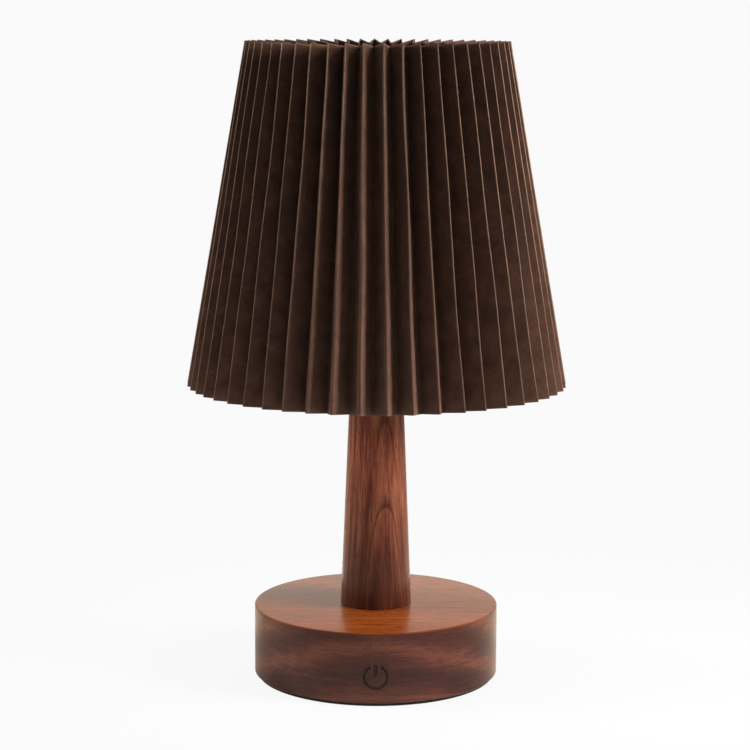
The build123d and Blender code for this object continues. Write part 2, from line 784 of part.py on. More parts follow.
lead_section = pi * lead_radius**2
print(f"lead: bend radius {lead_bend} mm, volume over section times length "
      f"{led_lead.part.volume / (lead_section * lead_path.length):.4f}")
print(f"pleats: depth {pleat_depth(shade_bottom):.2f} mm at the bottom, {pleat_depth(shade_top):.2f} mm at the top")

os.makedirs("parts", exist_ok=True)
finished = [
    foot_pad.part, base_cover.part, cover_screws.part, wooden_base.part, ballast_plate.part,
    battery_tray.part, *cells.values(), battery_contacts.part, control_board.part,
    board_screws.part, usb_c_port.part, usb_bezel.part, charge_light_pipe.part,
    touch_electrode.part, touch_foam.part, touch_board.part, touch_lead.part,
    lamp_pipe.part, pipe_washer.part, *nuts.values(), wooden_stem.part,
    lamp_holder.part, holder_collar.part, heat_sink.part, led_board.part, led_board_screws.part, led_chips.part,
    diffuser.part, led_lead.part, seat_washer.part, shade_ring_nut.part,
    shade_frame.part, bottom_hoop.part, pleated_shade.part,
]
for piece in finished:
    export_step(piece, f"parts/{piece.label}.step")
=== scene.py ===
# %% [markdown]
# A cordless desk lamp: a thick turned walnut disc, a tapered walnut stem and a shade folded from one
# sheet of brown suede paper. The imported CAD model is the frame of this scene, so every piece is made
# in metres at the place where the CAD has it. Sizes in the cells below are in millimetres, as on a
# drawing, and are turned into metres where a piece is made.

import math

import bmesh
import bpy
from mathutils import Matrix, Vector, noise


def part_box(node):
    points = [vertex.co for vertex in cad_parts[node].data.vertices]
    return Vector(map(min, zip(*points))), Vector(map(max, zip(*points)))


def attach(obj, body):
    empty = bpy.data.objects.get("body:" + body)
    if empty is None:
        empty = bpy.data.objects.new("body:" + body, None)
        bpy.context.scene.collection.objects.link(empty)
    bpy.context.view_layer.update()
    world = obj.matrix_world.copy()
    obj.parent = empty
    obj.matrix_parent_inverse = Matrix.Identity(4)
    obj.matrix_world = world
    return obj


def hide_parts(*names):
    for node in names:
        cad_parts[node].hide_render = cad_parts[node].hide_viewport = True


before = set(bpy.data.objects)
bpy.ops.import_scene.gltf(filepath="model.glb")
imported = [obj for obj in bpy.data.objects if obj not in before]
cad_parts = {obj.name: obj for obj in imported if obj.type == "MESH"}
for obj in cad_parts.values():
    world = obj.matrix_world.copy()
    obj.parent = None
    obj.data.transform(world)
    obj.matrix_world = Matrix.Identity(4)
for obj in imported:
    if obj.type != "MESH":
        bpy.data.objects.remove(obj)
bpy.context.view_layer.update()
mm = 0.001

# %% [markdown]
# The photograph was taken with a long lens from a little above the shade's middle height. A lens of
# 112 mm on a 36 mm sensor, 1.13 m from the lamp and tipped down 9 degrees, gives the same ellipses
# at the base and the same taper on the shade. The picture leans by a fifth of a degree, which a small
# roll of the camera repeats.

# %% Camera
camera_place = Vector((-0.0008, -1.131, 0.331))
camera_tilt = 9.094
camera_roll = 0.2
bpy.ops.object.camera_add()
camera = bpy.context.active_object
camera.data.lens = 112.4
camera.data.sensor_width = 36.0
camera.matrix_world = (
    Matrix.Translation(camera_place)
    @ Matrix.Rotation(math.radians(90 - camera_tilt), 4, "X")
    @ Matrix.Rotation(math.radians(camera_roll), 4, "Z")
)
bpy.context.scene.camera = camera
bpy.context.scene.view_settings.view_transform = "Standard"

# %% [markdown]
# The room is a white studio. A plane is the floor and the world is the backdrop. The camera sees one
# even white, and the light that reaches the lamp comes softly from everywhere, stronger from above
# and from the right. Reflections see a warmer white that is brightest behind the lamp, so oiled wood
# glows at its edges and stays deep in front. The floor gives the camera mostly its own white and a
# little of its real shading, so that the lamp keeps a faint shadow.

# %% Studio helpers
backdrop_white = 0.956


def set_inputs(node, inputs):
    """Sets a node's inputs. A value is a plain one or another node's output socket."""
    for socket, value in inputs.items():
        if isinstance(value, bpy.types.NodeSocket):
            node.id_data.links.new(value, node.inputs[socket])
        else:
            node.inputs[socket].default_value = value


def shade_node(tree, kind, inputs=None, **settings):
    """Adds a node with its settings and inputs."""
    made = tree.nodes.new(kind)
    for name, value in settings.items():
        setattr(made, name, value)
    set_inputs(made, inputs or {})
    return made


def calculate(tree, operation, first, second=0.0, third=0.0, clamp=False):
    """A Math node's output."""
    made = shade_node(tree, "ShaderNodeMath", {0: first, 1: second, 2: third}, operation=operation)
    made.use_clamp = clamp
    return made.outputs[0]


def times(tree, first, second, clamp=False):
    return calculate(tree, "MULTIPLY", first, second, clamp=clamp)


def scaled(tree, value, factor, offset, clamp=False):
    """A value times a factor, plus an offset."""
    return calculate(tree, "MULTIPLY_ADD", value, factor, offset, clamp)


def calculate_vector(tree, operation, first, second=(0.0, 0.0, 0.0)):
    """A Vector Math node's output, which is a number if a length is asked for."""
    made = shade_node(tree, "ShaderNodeVectorMath", {0: first, 1: second}, operation=operation)
    return made.outputs["Value" if operation == "LENGTH" else "Vector"]


def z_part(tree, vector):
    return shade_node(tree, "ShaderNodeSeparateXYZ", {0: vector}).outputs["Z"]


def blend_colours(tree, factor, first, second, mode="MIX"):
    """A Mix node's colour output."""
    inputs = {0: factor, 6: first, 7: second}
    return shade_node(tree, "ShaderNodeMix", inputs, data_type="RGBA", blend_type=mode).outputs[2]


def colour_steps(tree, factor, *steps):
    """A Color Ramp's colour output; each step is (position, (red, green, blue)) in linear light."""
    made = shade_node(tree, "ShaderNodeValToRGB", {0: factor})
    ramp = made.color_ramp
    while len(ramp.elements) < len(steps):
        ramp.elements.new(0.5)
    for element, (position, colour) in zip(ramp.elements, steps):
        element.position = position
        element.color = (*colour, 1.0)
    return made.outputs[0]


def paint(red, green, blue):
    """A colour as a paint chart gives it, 0 to 255, in the linear light that the nodes use."""
    shares = [v / 255 for v in (red, green, blue)]
    return tuple(v / 12.92 if v <= 0.04 else ((v + 0.055) / 1.055) ** 2.4 for v in shares)


# %% World
world = bpy.data.worlds.new("studio")
bpy.context.scene.world = world
world.use_nodes = True
room = world.node_tree
room.nodes.clear()
direction = shade_node(room, "ShaderNodeTexCoord").outputs["Generated"]
compass = shade_node(room, "ShaderNodeSeparateXYZ", {0: direction})
from_right = times(room, compass.outputs["X"], 0.085)
overhead = shade_node(
    room,
    "ShaderNodeMapRange",
    {"Value": compass.outputs["Z"], "From Min": 0.20, "From Max": 0.90, "To Min": 0.12, "To Max": 0.28},
    interpolation_type="SMOOTHSTEP",
).outputs[0]
soft_light = calculate(room, "ADD", from_right, overhead)
ray = shade_node(room, "ShaderNodeLightPath").outputs
mirrored = ray["Is Glossy Ray"]
mirror_white = scaled(room, compass.outputs["Y"], 0.38, 0.66, clamp=True)
seen = calculate(room, "MAXIMUM", ray["Is Camera Ray"], ray["Is Transmission Ray"])
unseen = calculate(room, "SUBTRACT", 1.0, calculate(room, "MAXIMUM", seen, mirrored))
strength = calculate(room, "ADD", times(room, seen, backdrop_white), times(room, mirrored, mirror_white))
strength = calculate(room, "ADD", strength, times(room, unseen, soft_light))
tint = blend_colours(room, mirrored, (1, 1, 1, 1), (1.0, 0.94, 0.83, 1))
surround = shade_node(room, "ShaderNodeBackground", {"Color": tint, "Strength": strength})
shade_node(room, "ShaderNodeOutputWorld", {"Surface": surround.outputs[0]})

# %% Floor
bpy.ops.mesh.primitive_plane_add(size=24.0, location=(0, 0, -0.00005))
floor = bpy.context.active_object
floor.name = "floor"
floor_finish = bpy.data.materials.new("studio_floor")
floor_finish.use_nodes = True
tree = floor_finish.node_tree
tree.nodes.clear()
spot = shade_node(tree, "ShaderNodeTexCoord").outputs["Object"]
away = calculate_vector(tree, "LENGTH", calculate_vector(tree, "ADD", spot, (-0.15, 0.05, 0.0)))
white = colour_steps(tree, away, (0.35, (0.94,) * 3), (0.90, (0.30,) * 3))
ray = shade_node(tree, "ShaderNodeLightPath").outputs
white = blend_colours(tree, ray["Is Glossy Ray"], white, (0.95, 0.80, 0.62, 1))
paper = shade_node(tree, "ShaderNodeBsdfDiffuse", {"Color": white})
even = shade_node(tree, "ShaderNodeEmission", {"Color": (1, 1, 1, 1), "Strength": backdrop_white})
share = times(tree, ray["Is Camera Ray"], scaled(tree, away, 0.30, 0.88, clamp=True))
both = shade_node(tree, "ShaderNodeMixShader", {0: share, 1: paper.outputs[0], 2: even.outputs[0]})
shade_node(tree, "ShaderNodeOutputMaterial", {"Surface": both.outputs[0]})
floor.data.materials.append(floor_finish)


# %% [markdown]
# A large lamp hangs overhead. Four softboxes with a grid, which narrows their light, stand lower: the
# key light and one for the base on the right, one on the left and a weak one in front.

# %% Lamps of the studio
def softbox(name, place, target, size, power, spread=180):
    """A square soft light that points at a place on the lamp; spread is the grid's angle."""
    bpy.ops.object.light_add(type="AREA", location=place)
    lamp = bpy.context.active_object
    lamp.name = name
    lamp.data.size = size
    lamp.data.energy = power
    lamp.data.spread = math.radians(spread)
    lamp.rotation_euler = (Vector(target) - Vector(place)).to_track_quat("-Z", "Y").to_euler()
    lamp.visible_glossy = False


softbox("key_right", (0.56, -0.23, 0.82), (0, 0, 0.33), 0.22, 0.25, spread=40)
softbox("low_right", (1.25, -0.42, 0.66), (0, 0, 0.04), 0.5, 2.50, spread=44)
softbox("low_left", (-1.3, 0.05, 0.45), (0, 0, 0.04), 0.5, 1.30, spread=44)
softbox("low_front", (0.25, -1.40, 0.30), (0, 0, 0.06), 0.5, 0.030, spread=26)
softbox("top_light", (0.0, 0.0, 1.7), (0, 0, 0.1), 1.2, 8.5)


# %% [markdown]
# Most pieces of a lamp are turned: a carpenter's lathe makes the wood, and a metal lathe the holder.
# The same is done here: a ring of points is laid out as the outline, each at its radius and height,
# and Spin sweeps it once round the lamp's axis. A Bevel modifier can then round the sharp edges a
# little, because no real edge is perfectly sharp and the small round catches the light.

# %% Modelling helpers
def select_only(piece):
    bpy.ops.object.select_all(action="DESELECT")
    piece.select_set(True)
    bpy.context.view_layer.objects.active = piece


def settle(piece):
    """Puts the piece's place into its mesh, so that the object itself stands at the origin."""
    select_only(piece)
    bpy.ops.object.transform_apply(location=True, rotation=True, scale=True)


def edit_all():
    bpy.ops.object.mode_set(mode="EDIT")
    bpy.ops.mesh.select_all(action="SELECT")


def turn_faces_outwards():
    """The last step of an edit: all faces look outwards, and Edit Mode is left."""
    bpy.ops.mesh.select_all(action="SELECT")
    bpy.ops.mesh.normals_make_consistent(inside=False)
    bpy.ops.object.mode_set(mode="OBJECT")


def round_edges(piece, width, steps=3, angle=30.0):
    """Rounds all edges that are sharper than an angle; the width is in millimetres."""
    select_only(piece)
    bevel = piece.modifiers.new("round_edges", "BEVEL")
    bevel.width = width * mm
    bevel.segments = steps
    bevel.limit_method = "ANGLE"
    bevel.angle_limit = math.radians(angle)
    bevel.use_clamp_overlap = True
    bpy.ops.object.modifier_apply(modifier=bevel.name)


def smooth(piece, angle=35.0):
    select_only(piece)
    bpy.ops.object.shade_smooth_by_angle(angle=math.radians(angle))


def arc(radius, height, size, start, end, steps):
    """An outline's points on an arc round (radius, height), between two angles in degrees."""
    turns = [math.radians(start + (end - start) * step / steps) for step in range(steps + 1)]
    return [(radius + size * math.cos(turn), height + size * math.sin(turn)) for turn in turns]


def turn_on_lathe(name, outline, steps=128, rounding=0.0, rounding_steps=3):
    """A closed outline of (radius, height) corners in millimetres, spun once round the lamp's axis."""
    bpy.ops.mesh.primitive_circle_add(vertices=len(outline), radius=0.01, fill_type="NOTHING")
    piece = bpy.context.active_object
    piece.name = piece.data.name = name
    for vertex, (radius, height) in zip(piece.data.vertices, outline):
        vertex.co = (radius * mm, 0.0, height * mm)
    edit_all()
    bpy.ops.mesh.spin(steps=steps, angle=math.tau, center=(0, 0, 0), axis=(0, 0, 1))
    bpy.ops.mesh.select_all(action="SELECT")
    bpy.ops.mesh.remove_doubles(threshold=1e-6)
    bpy.ops.mesh.dissolve_degenerate(threshold=1e-7)
    turn_faces_outwards()
    if rounding:
        round_edges(piece, rounding, rounding_steps)
    smooth(piece)
    return piece


def combine(piece, other, operation="DIFFERENCE", check_itself=False):
    """Cuts a solid out of a piece, or welds it on with UNION. Cut faces take the cutter's finish."""
    select_only(piece)
    boolean = piece.modifiers.new("combine", "BOOLEAN")
    boolean.operation = operation
    boolean.solver = "EXACT"
    boolean.object = other
    boolean.material_mode = "TRANSFER"
    boolean.use_self = check_itself
    bpy.ops.object.modifier_apply(modifier=boolean.name)
    bpy.data.objects.remove(other)


def join(pieces):
    bpy.ops.object.select_all(action="DESELECT")
    for piece in pieces:
        piece.select_set(True)
    bpy.context.view_layer.objects.active = pieces[0]
    bpy.ops.object.join()
    return pieces[0]


def fit(piece, body, slot, node, *surfaces):
    """Gives a finished piece its materials and its body, and hides the CAD node that it stands for; slot is
    not used.
    """
    if surfaces:
        piece.data.materials.clear()
        for surface in surfaces:
            piece.data.materials.append(surface)
    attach(piece, body)
    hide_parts(node)
    triangles = sum(len(p.vertices) - 2 for p in piece.data.polygons)
    print(f"{piece.name}: {triangles} triangles")


# %% [markdown]
# Walnut's figure is the tree's own: year rings round the pith, fibres along the trunk and open pores
# that show as short dark dashes. A flat picture of wood would break at every edge, so the figure is
# built as a solid in 3-D and the turned piece is carved out of it. The group below takes
# coordinates in the tree, with Z along the trunk, and gives out the rings, the fibres, the pores and
# the slow change of tone, so that stem and base can both use it with their own colours. Dark lines
# mark the good years only, and one year can be named that always has its line.

# %% Node group helper
def new_group(name, inputs, outputs):
    """A shader node group with named sockets; gives the tree, its inputs and its output node."""
    group = bpy.data.node_groups.new(name, "ShaderNodeTree")
    for socket, value in inputs.items():
        kind = "NodeSocketVector" if isinstance(value, tuple) else "NodeSocketFloat"
        made = group.interface.new_socket(socket, in_out="INPUT", socket_type=kind)
        made.default_value = value
    for socket in outputs:
        group.interface.new_socket(socket, in_out="OUTPUT", socket_type="NodeSocketFloat")
    given = group.nodes.new("NodeGroupInput").outputs
    return group, given, group.nodes.new("NodeGroupOutput")


def noise_value(tree, vector, scale, detail=3.0, roughness=0.55, distortion=0.0):
    inputs = {"Vector": vector, "Scale": scale, "Detail": detail}
    inputs |= {"Roughness": roughness, "Distortion": distortion}
    return shade_node(tree, "ShaderNodeTexNoise", inputs).outputs[0]


def stretched(tree, vector, across, along):
    """Tree coordinates squeezed so that a pattern is fine across the trunk and long along it."""
    return calculate_vector(tree, "MULTIPLY", vector, (across, across, along))


# %% Wood figure
wood, given, out = new_group(
    "walnut_figure",
    {
        "Vector": (0.0, 0.0, 0.0),
        "Ring Spacing": 0.0015,
        "Warp": 0.004,
        "Wobble": 1.5,
        "Depth Grain": 1.0,
        "Marked Year": -1.0,
    },
    ("Lines", "Bands", "Fibre", "Pores", "Mottle", "Height"),
)
in_trunk = given["Vector"]
slow = {"Vector": stretched(wood, in_trunk, 22.0, 7.0), "Scale": 1.0, "Detail": 2.0}
drift = shade_node(wood, "ShaderNodeTexNoise", slow).outputs["Color"]
drift = calculate_vector(wood, "SUBTRACT", drift, (0.5, 0.5, 0.5))
grown = calculate_vector(wood, "ADD", in_trunk, calculate_vector(wood, "MULTIPLY", drift, given["Warp"]))
across_trunk = calculate_vector(wood, "MULTIPLY", grown, (1.0, 1.0, 0.0))
from_pith = calculate_vector(wood, "LENGTH", across_trunk)
years = calculate(wood, "DIVIDE", from_pith, given["Ring Spacing"])
unsteady = noise_value(wood, stretched(wood, in_trunk, 110.0, 16.0), 1.0, 2.0)
years = scaled(wood, unsteady, given["Wobble"], years)
season = calculate(wood, "FRACT", years)
late = times(wood, calculate(wood, "SUBTRACT", season, 0.60), 3.0, clamp=True)
ended = times(wood, calculate(wood, "SUBTRACT", 0.985, season), 18.0, clamp=True)
line = times(wood, calculate(wood, "POWER", late, 2.2), ended)
year = calculate(wood, "FLOOR", years)
year_row = times(wood, year, 7.3)
year_place = {0: year_row, 1: times(wood, z_part(wood, in_trunk), 14.0)}
year_place = shade_node(wood, "ShaderNodeCombineXYZ", year_place).outputs[0]
good_year = calculate(wood, "SUBTRACT", noise_value(wood, year_place, 1.0, 1.0), 0.40)
good_year = times(wood, good_year, 2.5, clamp=True)
marked = calculate(wood, "COMPARE", year, given["Marked Year"], 0.5)
line = times(wood, line, calculate(wood, "MAXIMUM", good_year, marked))
band_turn = scaled(wood, years, 3.1, times(wood, unsteady, 1.2))
bands = scaled(wood, calculate(wood, "SINE", band_turn), 0.5, 0.5)


def fibres(across, along_trunk, detail, roughness, waviness=0.0):
    """Noise drawn out along the trunk; Depth Grain lets a face near the end grain keep its lines."""
    depth = times(wood, given["Depth Grain"], across)
    squeeze = shade_node(wood, "ShaderNodeCombineXYZ", {0: across, 1: depth, 2: along_trunk})
    drawn_out = calculate_vector(wood, "MULTIPLY", in_trunk, squeeze.outputs[0])
    return noise_value(wood, drawn_out, 1.0, detail, roughness, waviness)


fine = fibres(1700.0, 62.0, 3.0, 0.66)
streaks = fibres(560.0, 26.0, 2.0, 0.5, 0.6)
fibre = scaled(wood, calculate(wood, "ADD", fine, streaks), 1.25, -0.75, clamp=True)
pores = calculate(wood, "SUBTRACT", fibres(2600.0, 150.0, 1.0, 0.5), 0.57)
pores = times(wood, pores, 8.0, clamp=True)
mottle = noise_value(wood, stretched(wood, in_trunk, 160.0, 10.0), 1.0, 3.0, 0.5)
mottle = scaled(wood, mottle, 2.2, -0.6, clamp=True)
height = calculate(wood, "SUBTRACT", times(wood, fibre, 0.4), pores)
set_inputs(
    out, {"Lines": line, "Bands": bands, "Fibre": fibre, "Pores": pores, "Mottle": mottle, "Height": height}
)


# %% [markdown]
# Stem and base are cut from the same walnut and rubbed with a satin oil. The stem's tree axis stands
# behind it, so that its front shows pointed arches where the taper runs out of the rings, one of
# them drawn by the marked year, and a painted shade darkens it towards the foot, next to the base.
# The base lies on its side: its trunk runs from left to right above the disc, which gives straight
# lines on the top and long low arches round the front. Its upward faces take a lighter set of tones
# than its sides, whose darkness is partly painted shade. Two darker copies of its finish are for the
# burnt touch mark.

# %% Walnut
def begin_finish(name):
    """A new material with its Principled BSDF in place."""
    finish = bpy.data.materials.new(name + "_finish")
    finish.use_nodes = True
    tree = finish.node_tree
    tree.nodes.clear()
    surface = shade_node(tree, "ShaderNodeBsdfPrincipled")
    shade_node(tree, "ShaderNodeOutputMaterial", {"Surface": surface.outputs[0]})
    return finish, tree, surface


def wood_colour(tree, figure, tones, bands, fibres, mottle):
    """Four tones from dark to light; bands, fibres and mottle say how much each of them counts."""
    tone = scaled(tree, figure["Bands"], bands, 0.5 - 0.5 * (bands + fibres + mottle))
    tone = scaled(tree, figure["Fibre"], fibres, tone)
    tone = scaled(tree, figure["Mottle"], mottle, tone)
    return colour_steps(tree, tone, *zip((0.10, 0.38, 0.62, 0.90), tones))


foot_level = 0.036
foot_fade = 0.095


def walnut(
    name, pith, lean, spacing, tones, shares, lines, warp, wobble,
    top=None, marked=-1, darken=1.0, foot_shade=0,
):
    """Oiled walnut. pith is where the trunk's axis passes and lean turns it; top holds the lighter tones
    and shares of an upward face that is cut along the grain, next to sides that are partly painted
    shade; foot_shade paints shade on the stem's lower end."""
    finish, tree, surface = begin_finish(name)
    coordinates = shade_node(tree, "ShaderNodeTexCoord").outputs
    in_tree = shade_node(
        tree,
        "ShaderNodeMapping",
        {"Vector": coordinates["Object"], "Location": pith, "Rotation": lean},
        vector_type="TEXTURE",
    )
    cut = {"Vector": in_tree.outputs[0], "Ring Spacing": spacing, "Warp": warp, "Wobble": wobble}
    group = shade_node(tree, "ShaderNodeGroup", {**cut, "Marked Year": marked}, node_tree=wood)
    figure = group.outputs
    colour = wood_colour(tree, figure, tones, *shares)
    # The upward faces take lighter tones than the sides; the sides' darkness is partly painted shade.
    if top:
        upward = times(tree, z_part(tree, coordinates["Normal"]), 1.0, clamp=True)
        colour = blend_colours(tree, upward, colour, wood_colour(tree, figure, top[0], *top[1]))
        set_inputs(group, {"Depth Grain": scaled(tree, upward, 0.96, 0.04)})
    dark = (*[v * 0.30 for v in tones[0]], 1.0)
    colour = blend_colours(tree, times(tree, figure["Lines"], lines), colour, dark)
    colour = blend_colours(tree, times(tree, figure["Pores"], 0.50), colour, dark)
    # Painted shade: the stem is darkened towards its foot, next to the base.
    if foot_shade:
        height = z_part(tree, coordinates["Object"])
        above = scaled(tree, height, 1 / foot_fade, -foot_level / foot_fade, clamp=True)
        shadow = times(tree, calculate(tree, "SUBTRACT", 1.0, above), foot_shade)
        colour = blend_colours(tree, shadow, colour, dark)
    if darken != 1.0:
        colour = blend_colours(tree, 1.0, colour, (darken, darken, darken, 1.0), "MULTIPLY")
    relief = {"Height": figure["Height"], "Strength": 0.10, "Distance": 0.00015}
    oiled = {
        "Base Color": colour,
        "Roughness": scaled(tree, figure["Fibre"], 0.08, 0.20),
        "IOR": 1.31,
        "Specular Tint": (1.0, 0.96, 0.86, 1.0),
        "Normal": shade_node(tree, "ShaderNodeBump", relief).outputs[0],
    }
    set_inputs(surface, oiled)
    return finish


stem_tones = (paint(68, 29, 23), paint(109, 51, 38), paint(138, 77, 54), paint(162, 101, 71))
# The side tones are darker than the top's partly as painted shade.
shaded_side_tones = (paint(43, 22, 23), paint(54, 28, 28), paint(68, 36, 33), paint(92, 52, 40))
top_tones = (paint(110, 48, 16), paint(128, 59, 19), paint(142, 70, 26), paint(156, 82, 36))
stem_shares = (0.20, 0.66, 0.30)
side_shares = (0.58, 0.40, 0.10)
top_shares = (0.18, 0.62, 0.16)
stem_pith = (-0.01805, 0.05734, 0.0)
stem_lean = (math.radians(0.40), 0.0, 0.0)
in_stem = (stem_pith, stem_lean, 0.0016, stem_tones, stem_shares, 0.75, 0.002, 0.4)
# foot_shade paints shade on the stem's foot.
stem_walnut = walnut("stem_walnut", *in_stem, marked=46, foot_shade=0.80)
base_pith = (0.0, 0.0, 0.105)
lying = (0.0, math.radians(90), 0.0)
in_base = (base_pith, lying, 0.0095, shaded_side_tones, side_shares, 0.20, 0.007, 0.45)
base_walnut = walnut("base_walnut", *in_base, top=(top_tones, top_shares))
burnt_walnut = walnut("burnt_walnut", *in_base, darken=0.22)
scorched_walnut = walnut("scorched_walnut", *in_base, darken=0.62)

# %% [markdown]
# The wooden base is a disc turned on the lathe, with a rabbet below for its cover plate and a pocket
# for the battery. The niches behind the touch mark and the charging port, the port's slot and the
# holes for the screws are milled afterwards, and so they are here: simple solids are taken out of the
# turned disc one by one. 256 steps keep its outline round at this size.

# %% Wooden base: the turned disc
base_radius = 60.0
base_top = 36.0
foot_height = 1.8
pocket_radius = 46.0
pocket_roof = 28.0
rabbet_radius = 52.5
cover_top = 3.8
socket_radius = 12.0
pipe_hole_radius = 5.3
touch_height = 14.8

edge_round = 0.8
base_outline = [
    (pipe_hole_radius, pocket_roof),
    (pocket_radius, pocket_roof),
    (pocket_radius, cover_top),
    (rabbet_radius, cover_top),
    (rabbet_radius, foot_height),
    (base_radius - 0.4, foot_height),
    (base_radius, foot_height + 0.4),
    *arc(base_radius - edge_round, base_top - edge_round, edge_round, 0, 90, 6),
    (socket_radius, base_top),
    (socket_radius, base_top - 3.0),
    (pipe_hole_radius, base_top - 3.0),
]
wooden_base = turn_on_lathe("wooden_base_turned", base_outline, 256)
for surface in (base_walnut, burnt_walnut, scorched_walnut):
    wooden_base.data.materials.append(surface)


# %% Wooden base: milled niches, slot and holes
def block(low, high):
    """A box between two corners in millimetres."""
    centre = [(a + b) / 2 * mm for a, b in zip(low, high)]
    bpy.ops.mesh.primitive_cube_add(size=1.0, location=centre)
    made = bpy.context.active_object
    made.scale = [(b - a) * mm for a, b in zip(low, high)]
    settle(made)
    return made


def rod(radius, start, end, sides=32):
    """A round bar between two points in millimetres."""
    start = Vector(start) * mm
    end = Vector(end) * mm
    run = end - start
    bpy.ops.mesh.primitive_cylinder_add(
        vertices=sides,
        radius=radius * mm,
        depth=run.length,
        location=(start + end) / 2,
        rotation=run.to_track_quat("Z", "Y").to_euler(),
    )
    made = bpy.context.active_object
    settle(made)
    return made


def slot_bar(width, height, front, rear, level):
    """A bar with round ends along Y: half of a round bar's points are moved to each side."""
    made = rod(height / 2, (0, rear, level), (0, front, level), 48)
    spread = (width - height) / 2 * mm
    for vertex in made.data.vertices:
        if vertex.co.x > 1e-6:
            vertex.co.x += spread
        elif vertex.co.x < -1e-6:
            vertex.co.x -= spread
    return made


touch_niche = block((-12, -56.5, 7.0), (12, -40, 22.6))
port_niche = block((-16.5, 40, 11.57), (16.5, 55, 20.17))
port_slot = slot_bar(13.2, 7.6, 61.0, 52.0, touch_height)
light_hole = rod(1.1, (11, 52, touch_height), (11, 61, touch_height), 24)
cutters = [touch_niche, port_niche, port_slot, light_hole]
screw_places = arc(0, 0, 49.1, 45, 315, 3)
for place in screw_places:
    cutters.append(rod(1.6, (*place, 3.0), (*place, 12.8), 20))
for cutter in cutters:
    combine(wooden_base, cutter)

# %% [markdown]
# The touch mark on the front is a plain on/off sign cut a few tenths of a millimetre deep. Its ring is
# a small trapezium spun most of the way round an axis that points at the viewer, and its bar is a
# block with a pointed end. The inner end of the cutter is laid on the disc's own round, so that the
# groove has an even depth on the curved front. Its walls slope outwards and are burnt dark, while
# its floor is only scorched, which draws the mark in thin double lines.

# %% Wooden base: the touch mark
mark_outer = 6.1
mark_inner = 4.9
mark_depth = 0.40
mark_slope = 0.35
mark_front = -base_radius - mark_depth
mark_rear = -57.0
mark_middle = -58.5 * mm
bar_narrowed = 0.50
bar_widened = 1.50
faces_viewer = -0.93
bpy.ops.mesh.primitive_plane_add(size=1.0)
mark_ring = bpy.context.active_object
corners = [
    (mark_inner - mark_slope, mark_front),
    (mark_outer + mark_slope, mark_front),
    (mark_outer - mark_slope, mark_rear),
    (mark_inner + mark_slope, mark_rear),
]
gap = math.radians(27)
for vertex, (radius, depth) in zip([mark_ring.data.vertices[i] for i in (0, 1, 3, 2)], corners):
    vertex.co = (radius * math.sin(gap) * mm, depth * mm, (touch_height + radius * math.cos(gap)) * mm)
edit_all()
ring_centre = (0, -base_radius * mm, touch_height * mm)
bpy.ops.mesh.spin(steps=72, angle=2 * gap - math.tau, center=ring_centre, axis=(0, 1, 0))
bpy.ops.mesh.select_all(action="SELECT")
bpy.ops.mesh.remove_doubles(threshold=1e-6)
bpy.ops.mesh.fill_holes(sides=4)
turn_faces_outwards()
mark_bar = block((-0.65, mark_front, touch_height + 0.9), (0.65, mark_rear, touch_height + mark_outer))
bpy.ops.object.mode_set(mode="EDIT")
shape = bmesh.from_edit_mesh(mark_bar.data)
bpy.ops.mesh.select_all(action="DESELECT")
for face in shape.faces:
    face.select = face.normal.z < -0.9
bmesh.update_edit_mesh(mark_bar.data)
bpy.ops.mesh.extrude_region_move(TRANSFORM_OT_translate={"value": (0, 0, -0.0007)})
bpy.ops.transform.resize(value=(0.25, 1, 1))
bpy.ops.object.mode_set(mode="OBJECT")
for vertex in mark_bar.data.vertices:
    vertex.co.x *= bar_narrowed if vertex.co.y > mark_middle else bar_widened
mark = join([mark_ring, mark_bar])
mark.data.materials.append(burnt_walnut)
for vertex in mark.data.vertices:
    if vertex.co.y > mark_middle:
        vertex.co.y = -math.sqrt(((base_radius - mark_depth) * mm) ** 2 - vertex.co.x**2)
combine(wooden_base, mark, check_itself=True)
for face in wooden_base.data.polygons:
    if face.material_index == 1 and face.normal.y < faces_viewer:
        face.material_index = 2
smooth(wooden_base, 30)
fit(wooden_base, "lamp", "base_walnut", "wooden_base")
print("wooden base finishes:", [slot.name for slot in wooden_base.material_slots])

# %% [markdown]
# The stem is a straight turned taper with a short spigot that centres it in the base. Only its lower
# two thirds show under the shade.

# %% Wooden stem
stem_top = 180.0
stem_outline = [
    (pipe_hole_radius, 33.2),
    (11.8, 33.2),
    (11.8, base_top),
    (17.15, base_top),
    (17.4, base_top + 0.25),
    (11.6, stem_top - 0.5),
    (10.9, stem_top),
    (pipe_hole_radius, stem_top),
]
wooden_stem = turn_on_lathe("wooden_stem_turned", stem_outline, 128)
fit(wooden_stem, "lamp", "stem_walnut", "wooden_stem", stem_walnut)

# %% [markdown]
# The shade is one long sheet, pleated like a concertina and closed to a cone, so all its flanks have
# one width and every second fold is an outer one. It starts as an open cylinder with two sides for
# each pleat, whose corners are moved to the folds' places. The rows that Subdivide adds let the folds
# wander and lean a little, as hand-set pleats do. A Bevel modifier, weighted fold by fold, rounds
# the folds: wide at the front and sharp at the sides. Solidify gives the sheet its thickness and
# its cut edges a finish of their own.

# %% Pleated shade: sizes of the folded sheet
shade_bottom = 146.0
shade_top = 311.8
bottom_radius = 92.5
top_radius = 63.65
pleats = 52
flank = 13.2
sheet_thickness = 0.45
shade_height = shade_top - shade_bottom
shade_slope = (bottom_radius - top_radius) / shade_height
slant = math.cos(math.atan(shade_slope))
rim_tilt = 0.78 * shade_slope
first_fold = math.radians(2.483)
front_opening = 0.080
left_lean = 3.6
front_power = 5
bend_width = 4.0


def ridge_radius(level):
    return bottom_radius - shade_slope * (level - shade_bottom)


def half_pitch(level):
    return math.pi * (ridge_radius(level) - flank / 2) / pleats


def pleat_depth(level):
    return math.sqrt(flank**2 - half_pitch(level) ** 2) / slant


